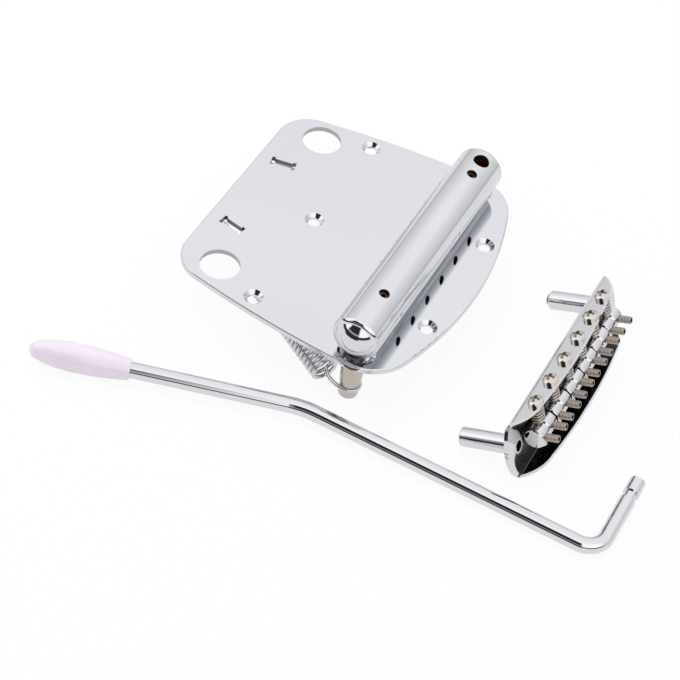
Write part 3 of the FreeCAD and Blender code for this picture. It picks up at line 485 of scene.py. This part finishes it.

# %% [markdown]
# A saddle spring is a plain compression spring around its screw, and it shortens as the saddle moves
# back. It is wound like the tail springs, without hooks.

# %% Saddle springs
SADDLE_WIRE, SADDLE_TURNS, SADDLE_COIL = 0.65, 4.75, 2.05
WIRE_GAP = 0.08
seat = -CHANNEL_HALF + SHEET + SADDLE_WIRE / 2 + WIRE_GAP
far = -SETBACK - SADDLE_RADIUS - SADDLE_WIRE / 2 - WIRE_GAP
for index in range(SADDLES):
    base = in_bridge(seat, string_side(index), saddle_level(index))
    coil = helix(base, BRIDGE_X, BRIDGE_Z, SADDLE_COIL, (far - seat) / SADDLE_TURNS, SADDLE_TURNS)
    (first, lead_in), (last, lead_out) = coil[0], coil[-1]
    stations = [(first - lead_in * SADDLE_WIRE, lead_in), *coil, (last + lead_out * SADDLE_WIRE, lead_out)]
    spring = wound(f"saddle_spring_wire_{index + 1}", stations, SADDLE_WIRE, "small_spring_steel")
    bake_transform(spring)
    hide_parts(f"intonation_spring_{index + 1}")
print("saddle springs:", SADDLES)

# %% [markdown]
# ## Height screws
# Every saddle stands on two headless screws with a hex socket in the top. Their fine thread is what
# catches the light. The thread is a rule: at each height the radius rises and falls once a turn. One
# screw is made from rings that follow that rule. A boolean could cut the thread, but it is slow and
# leaves ragged faces.

# %% One threaded screw
RINGS_PER_TURN = 6
LEAD_IN_DEPTHS = 1.5
CREASE = math.radians(50)


def screw_stock(name, radius, length, pitch, depth, socket, socket_depth, around=24):
    """Rings from the foot's centre, up the thread, over the rim and down into the hex socket."""
    def hexagon(angle):
        return socket * math.cos(math.pi / 6) / math.cos((angle % (math.pi / 3)) - math.pi / 6)

    lead_in = depth * LEAD_IN_DEPTHS
    rows = [(0.0, lambda a: 0.0), (0.0, lambda a: radius - depth)]
    steps = int(length / pitch * RINGS_PER_TURN)
    for step in range(steps + 1):
        level = length * step / steps
        taper = min(level, length - level, lead_in) / lead_in
        rows.append((level, lambda a, z=level, t=taper: radius - depth + depth * t * abs(
            2 * ((z / pitch - a / (2 * math.pi)) % 1) - 1)))
    rows += [(length, hexagon), (length - socket_depth, hexagon), (length - socket_depth, lambda a: 0.0)]
    mesh = bmesh.new()
    rings = []
    for level, rule in rows:
        if rule(0.0) == 0.0:
            rings.append([mesh.verts.new((0, 0, level * MM))])
            continue
        angles = [2 * math.pi * step / around for step in range(around)]
        rings.append([mesh.verts.new((rule(a) * math.cos(a) * MM, rule(a) * math.sin(a) * MM, level * MM))
                      for a in angles])
    for low, high in zip(rings, rings[1:]):
        for step in range(around):
            ahead = (step + 1) % around
            corners = [low[step % len(low)], low[ahead % len(low)],
                       high[ahead % len(high)], high[step % len(high)]]
            mesh.faces.new(list(dict.fromkeys(corners))).smooth = True
    bmesh.ops.recalc_face_normals(mesh, faces=mesh.faces)
    for edge in mesh.edges:
        edge.smooth = edge.calc_face_angle(0) < CREASE
    data = bpy.data.meshes.new(name)
    mesh.to_mesh(data)
    mesh.free()
    stock = bpy.data.objects.new(name, data)
    bpy.context.scene.collection.objects.link(stock)
    return stock


SCREW_RADIUS, SCREW_LENGTH, SCREW_OFFSET = 1.35, 11.8, 3.1
THREAD_PITCH, THREAD_DEPTH = 0.5, 0.22
HEX_RADIUS, HEX_DEPTH = 0.85, 1.6
stock = screw_stock("height_screw_stock", SCREW_RADIUS, SCREW_LENGTH, THREAD_PITCH, THREAD_DEPTH, HEX_RADIUS,
                    HEX_DEPTH)
print("faces in one screw:", len(stock.data.polygons))

# %% [markdown]
# The two screws of a saddle are one shape at two places. Copies could be placed by hand, but a Mesh Line
# with two points and Instance on Points keep the spacing a named input.

# %% Tree that sets screws in pairs
def pair_tree():
    tree = bpy.data.node_groups.new("screw_pair", "GeometryNodeTree")
    face = tree.interface
    face.new_socket("Host", in_out="INPUT", socket_type="NodeSocketGeometry")
    face.new_socket("Screw", in_out="INPUT", socket_type="NodeSocketObject")
    face.new_socket("Middle", in_out="INPUT", socket_type="NodeSocketVector")
    face.new_socket("Step", in_out="INPUT", socket_type="NodeSocketVector")
    face.new_socket("Turn", in_out="INPUT", socket_type="NodeSocketVector")
    face.new_socket("Finish", in_out="INPUT", socket_type="NodeSocketMaterial")
    face.new_socket("Pair", in_out="OUTPUT", socket_type="NodeSocketGeometry")
    inlet = tree.nodes.new("NodeGroupInput")
    outlet = tree.nodes.new("NodeGroupOutput")
    half = tree.nodes.new("ShaderNodeVectorMath")
    half.operation = "SCALE"
    half.inputs["Scale"].default_value = -0.5
    first = tree.nodes.new("ShaderNodeVectorMath")
    first.operation = "ADD"
    row = tree.nodes.new("GeometryNodeMeshLine")
    row.mode = "OFFSET"
    row.inputs["Count"].default_value = 2
    screw = tree.nodes.new("GeometryNodeObjectInfo")
    spread = tree.nodes.new("GeometryNodeInstanceOnPoints")
    whole = tree.nodes.new("GeometryNodeRealizeInstances")
    paint = tree.nodes.new("GeometryNodeSetMaterial")
    join = tree.links.new
    join(inlet.outputs["Step"], half.inputs[0])
    join(inlet.outputs["Middle"], first.inputs[0])
    join(half.outputs["Vector"], first.inputs[1])
    join(first.outputs["Vector"], row.inputs["Start Location"])
    join(inlet.outputs["Step"], row.inputs["Offset"])
    join(inlet.outputs["Screw"], screw.inputs["Object"])
    join(row.outputs["Mesh"], spread.inputs["Points"])
    join(screw.outputs["Geometry"], spread.inputs["Instance"])
    join(inlet.outputs["Turn"], spread.inputs["Rotation"])
    join(spread.outputs["Instances"], whole.inputs["Geometry"])
    join(whole.outputs["Geometry"], paint.inputs["Geometry"])
    join(inlet.outputs["Finish"], paint.inputs["Material"])
    join(paint.outputs["Geometry"], outlet.inputs["Pair"])
    return tree


PAIR = pair_tree()
FOOT_GAP = 0.02
lean = math.atan2(BRIDGE_Z.x, BRIDGE_Z.z)
for index in range(SADDLES):
    name = f"height_screw_pair_{index + 1}"
    host = bpy.data.objects.new(name, bpy.data.meshes.new(name))
    bpy.context.scene.collection.objects.link(host)
    setter = host.modifiers.new("pair", "NODES")
    setter.node_group = PAIR
    foot = in_bridge(-SETBACK, string_side(index), SHEET + FOOT_GAP)
    set_inputs(setter, Screw=stock, Middle=tuple(foot * MM), Step=(0, 2 * SCREW_OFFSET * MM, 0),
               Turn=(0, lean, 0), Finish=finishes["height_screw_steel"])
    pair = settled(host, name)
    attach(pair, f"height_pair_{index + 1}")
    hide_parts(f"height_screws_{index + 1}")
bpy.data.objects.remove(stock)
print("screw pairs:", SADDLES)

# %% [markdown]
# ## Studio
# The set lies on white paper under a large soft light. Chrome has no colour of its own and shows the room
# instead. So the camera sees plain white all round, while metal sees the room: a pale ceiling, a dark
# strip along the horizon in front, and a dark gap in the white screens on the near side. That gap draws
# the black line along the arm. The paper could be lit until it is white, but that light would wash out
# the metal. So it glows for the camera by itself, and its small plain share keeps the shadow.

# %% Table
FLOOR, PAPER_GAP = -18.2 * MM, 0.2 * MM
SET_MIDDLE = 60.0 * MM
TABLE_SIZE, PAPER_GLOW, GLOW_SHARE = 4.0, 0.88, 0.92
bpy.ops.mesh.primitive_plane_add(size=TABLE_SIZE, location=(SET_MIDDLE, 0.0, FLOOR - PAPER_GAP))
table = bpy.context.object
table.name = "table"
paper = bpy.data.materials.new("table_paper")
paper.use_nodes = True
nodes, links = paper.node_tree.nodes, paper.node_tree.links
nodes["Principled BSDF"].inputs["Base Color"].default_value = (0.9, 0.9, 0.9, 1.0)
nodes["Principled BSDF"].inputs["Roughness"].default_value = 0.9
glow = nodes.new("ShaderNodeEmission")
path = nodes.new("ShaderNodeLightPath")
level = nodes.new("ShaderNodeMapRange")
level.inputs["To Min"].default_value = PAPER_GLOW
links.new(path.outputs["Is Camera Ray"], level.inputs["Value"])
links.new(level.outputs["Result"], glow.inputs["Strength"])
seen = nodes.new("ShaderNodeMath")
seen.operation = "MAXIMUM"
links.new(path.outputs["Is Camera Ray"], seen.inputs[0])
links.new(path.outputs["Is Glossy Ray"], seen.inputs[1])
share = nodes.new("ShaderNodeMath")
share.operation = "MULTIPLY"
share.inputs[1].default_value = GLOW_SHARE
links.new(seen.outputs[0], share.inputs[0])
blend = nodes.new("ShaderNodeMixShader")
links.new(share.outputs[0], blend.inputs[0])
links.new(nodes["Principled BSDF"].outputs[0], blend.inputs[1])
links.new(glow.outputs[0], blend.inputs[2])
links.new(blend.outputs[0], nodes["Material Output"].inputs["Surface"])
table.data.materials.append(paper)
print("table side in metres:", TABLE_SIZE)

# %% [markdown]
# The room is written as brightness against height above the horizon, one scale for each side: behind the
# set, in front of it, and in the dark gap. A height is the upright part of a ray's direction, 0 level and
# 1 straight up. Screens could be built as meshes and lit, but a scale of brightness is faster and has no
# edges to place.

# %% Room that metal sees
world = bpy.data.worlds.new("surround")
bpy.context.scene.world = world
world.use_nodes = True
COOL_LIGHT = (0.985, 0.99, 1.02)
nodes, links = world.node_tree.nodes, world.node_tree.links
ray = nodes.new("ShaderNodeTexCoord")
part = nodes.new("ShaderNodeSeparateXYZ")
links.new(ray.outputs["Generated"], part.inputs[0])


def room_side(stops):
    """Brightness against height on one side of the room."""
    scale = nodes.new("ShaderNodeValToRGB")
    marks = scale.color_ramp.elements
    while len(marks) < len(stops):
        marks.new(0.5)
    for mark, (height, light) in zip(marks, stops):
        mark.position = height
        mark.color = (*(light * tone for tone in COOL_LIGHT), 1.0)
    links.new(part.outputs["Z"], scale.inputs["Fac"])
    return scale.outputs["Color"]


def soft_step(source, low, high):
    step = nodes.new("ShaderNodeMapRange")
    step.interpolation_type = "SMOOTHSTEP"
    step.inputs["From Min"].default_value = low
    step.inputs["From Max"].default_value = high
    links.new(source, step.inputs["Value"])
    return step.outputs["Result"]


def between(factor, first, second):
    mix = nodes.new("ShaderNodeMix")
    mix.data_type = "RGBA"
    for socket, source in ((0, factor), (6, first), (7, second)):
        links.new(source, mix.inputs[socket])
    return mix.outputs[2]


behind = room_side([(0.0, 0.62), (0.06, 0.60), (0.20, 0.74), (0.45, 0.83), (0.60, 0.94),
                    (0.70, 1.03), (0.80, 0.99), (1.0, 1.03)])
in_front = room_side([(0.0, 0.85), (0.07, 0.80), (0.10, 0.04), (0.27, 0.04), (0.32, 1.25),
                      (0.88, 1.25), (0.915, 0.70), (0.93, 1.20), (1.0, 1.05)])
gap = room_side([(0.0, 0.12), (0.04, 0.03), (0.30, 0.03), (0.34, 0.42), (0.42, 0.42),
                 (0.46, 0.03), (0.84, 0.03), (0.88, 1.28), (1.0, 1.05)])
print("sides of the room:", len((behind, in_front, gap)))

# %% [markdown]
# The gap is a range of bearings around one level direction. A ray's bearing is its level part, measured
# along that direction. Soft steps join the sides, so no hard line shows in the chrome.

# %% Where each side of the room begins
GAP_WAY, GAP_FROM, GAP_FULL = (-0.29, -0.957, 0.0), 0.80, 0.90
SIDE_BLEND, DULL_LIGHT = 0.2, 0.75
along_gap = nodes.new("ShaderNodeVectorMath")
along_gap.operation = "DOT_PRODUCT"
along_gap.inputs[1].default_value = GAP_WAY
links.new(ray.outputs["Generated"], along_gap.inputs[0])
level_part = nodes.new("ShaderNodeVectorMath")
level_part.operation = "MULTIPLY"
level_part.inputs[1].default_value = (1.0, 1.0, 0.0)
links.new(ray.outputs["Generated"], level_part.inputs[0])
level_length = nodes.new("ShaderNodeVectorMath")
level_length.operation = "LENGTH"
links.new(level_part.outputs["Vector"], level_length.inputs[0])
bearing = nodes.new("ShaderNodeMath")
bearing.operation = "DIVIDE"
links.new(along_gap.outputs["Value"], bearing.inputs[0])
links.new(level_length.outputs["Value"], bearing.inputs[1])
room = between(soft_step(part.outputs["Y"], -SIDE_BLEND, SIDE_BLEND), in_front, behind)
room = between(soft_step(bearing.outputs[0], GAP_FROM, GAP_FULL), room, gap)
sky = nodes["Background"]
path = nodes.new("ShaderNodeLightPath")
white = nodes.new("ShaderNodeBackground")
white.inputs["Color"].default_value = (1.0, 1.0, 1.0, 1.0)
white_level = nodes.new("ShaderNodeMapRange")
white_level.inputs["To Min"].default_value = DULL_LIGHT
links.new(path.outputs["Is Camera Ray"], white_level.inputs["Value"])
links.new(white_level.outputs["Result"], white.inputs["Strength"])
links.new(room, sky.inputs["Color"])
either = nodes.new("ShaderNodeMixShader")
links.new(path.outputs["Is Glossy Ray"], either.inputs[0])
links.new(white.outputs[0], either.inputs[1])
links.new(sky.outputs[0], either.inputs[2])
links.new(either.outputs[0], nodes["World Output"].inputs["Surface"])
print("light on dull surfaces:", DULL_LIGHT)

# %% [markdown]
# One large soft box above the set gives the faint shadow on the paper. Metal doesn't see it, so it makes
# no hard highlight. A sun lamp would give a sharper shadow than the photo has.

# %% Lamp
LAMP_SIZE, LAMP_POWER, LAMP_AT = 0.8, 4.0, (-0.25, 0.15, 0.8)
lamp_data = bpy.data.lights.new("soft_box", "AREA")
lamp_data.size = LAMP_SIZE
lamp_data.energy = LAMP_POWER
lamp = bpy.data.objects.new("soft_box", lamp_data)
bpy.context.scene.collection.objects.link(lamp)
lamp.location = LAMP_AT
lamp.rotation_euler = (Vector((SET_MIDDLE, 0, 0)) - lamp.location).to_track_quat("-Z", "Y").to_euler()
lamp.visible_glossy = False
print("lamp height in metres:", LAMP_AT[2])

# %% [markdown]
# ## Camera
# The photo's camera was found by fitting the plate's holes and outline. It looks down steeply from the
# near side and is rolled a little. A camera that is only aimed at a point has no roll, so the three axes
# are given directly.

# %% Camera
SENSOR_WIDTH, FOCAL_LENGTH = 36.0, 122.45
CAMERA_AT = Vector((213.664, -532.467, 547.307)) * MM
lens = bpy.data.cameras.new("photo_lens")
lens.sensor_width = SENSOR_WIDTH
lens.lens = FOCAL_LENGTH
camera = bpy.data.objects.new("photo_camera", lens)
bpy.context.scene.collection.objects.link(camera)
right = Vector((0.881959, 0.450978, 0.136994))
down = Vector((0.417019, -0.611196, -0.672707))
ahead = Vector((-0.219646, 0.650429, -0.727116))
turn = Matrix((right, -down, -ahead)).transposed()
camera.matrix_world = Matrix.Translation(CAMERA_AT) @ turn.to_4x4()
bpy.context.scene.camera = camera
bpy.context.scene.view_settings.view_transform = "Standard"
print("camera height in metres:", round(CAMERA_AT.z, 3))
